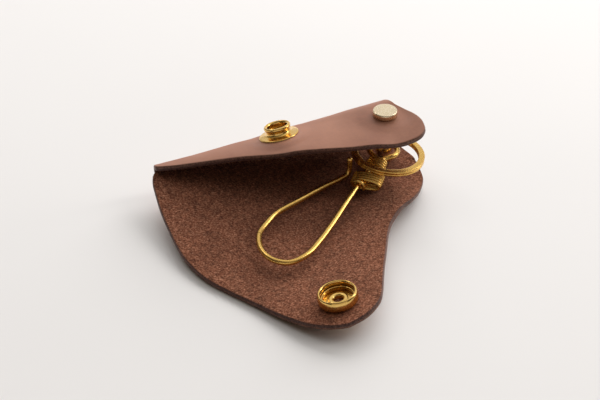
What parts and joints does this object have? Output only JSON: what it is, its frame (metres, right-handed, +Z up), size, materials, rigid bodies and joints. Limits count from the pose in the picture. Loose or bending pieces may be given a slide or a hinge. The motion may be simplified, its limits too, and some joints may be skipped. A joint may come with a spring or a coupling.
{
  "type": "key organiser",
  "caption": "Folded leather key case, open, with a brass wire hook and a split ring turning on a tall screw post, and a snap fastener to close the flap.",
  "frame": {"origin": "middle of the footprint, on the surface that the open case lies on", "axes": "+Z up off that surface, +X to the right along the leaf's front edge, +Y to the back, towards the fold"},
  "size_m": [0.0906, 0.1046, 0.0241],
  "materials": {
    "leather_brown": "smooth outside, suede-like inside, burnished edges",
    "brass_turned": "finely turned faces",
    "brass_pressed": "polished",
    "brass_wire": "drawn wire, slightly dulled"
  },
  "bodies": {
    "case": {"leather_panel": "leather_brown", "snap_stud": "brass_pressed", "stud_eyelet": "brass_pressed"},
    "flap": {"leather_flap": "leather_brown", "snap_socket": "brass_pressed", "socket_spring": "brass_pressed", "snap_cap": "brass_pressed"},
    "post": {"post_barrel": "brass_turned", "post_screw": "brass_turned"},
    "hook": {"hook_wire": "brass_wire", "eye_wrap": "brass_wire", "neck_wrap": "brass_wire", "wrap_tail": "brass_wire"},
    "gate": {"hook_gate": "brass_wire"},
    "ring": {"split_ring": "brass_wire"}
  },
  "joints": [
    {"name": "flap_fold", "type": "hinge", "parent": "case", "child": "flap", "pos_m": [0.00477, -0.00558, 0.01692], "axis": [-0.9608, -0.2224, -0.1652], "range_deg": [0, 189.5]},
    {"name": "post_turn", "type": "hinge", "parent": "case", "child": "post", "pos_m": [0.03175, 0.03612, 0.01], "axis": [0, 0, 1], "range_deg": [-12.1, 0]},
    {"name": "hook_swing", "type": "hinge", "parent": "post", "child": "hook", "pos_m": [0.03175, 0.03612, 0.0077], "axis": [-0.1392, 0, 0.9903], "range_deg": [0, 60]},
    {"name": "gate_open", "type": "hinge", "parent": "hook", "child": "gate", "pos_m": [-0.00435, 0.00302, 0.0055], "axis": [0, 0, 1], "range_deg": [0, 12], "stiffness_Nm_per_rad": 0.05},
    {"name": "ring_spin", "type": "hinge", "parent": "hook", "child": "ring", "pos_m": [0.03285, 0.03042, 0.0103], "axis": [0.1045, 0, 0.9945], "continuous": true}
  ],
  "couplings": [
    {"joint": "post_turn", "follows": "flap_fold", "ratio": -0.0633}
  ]
}
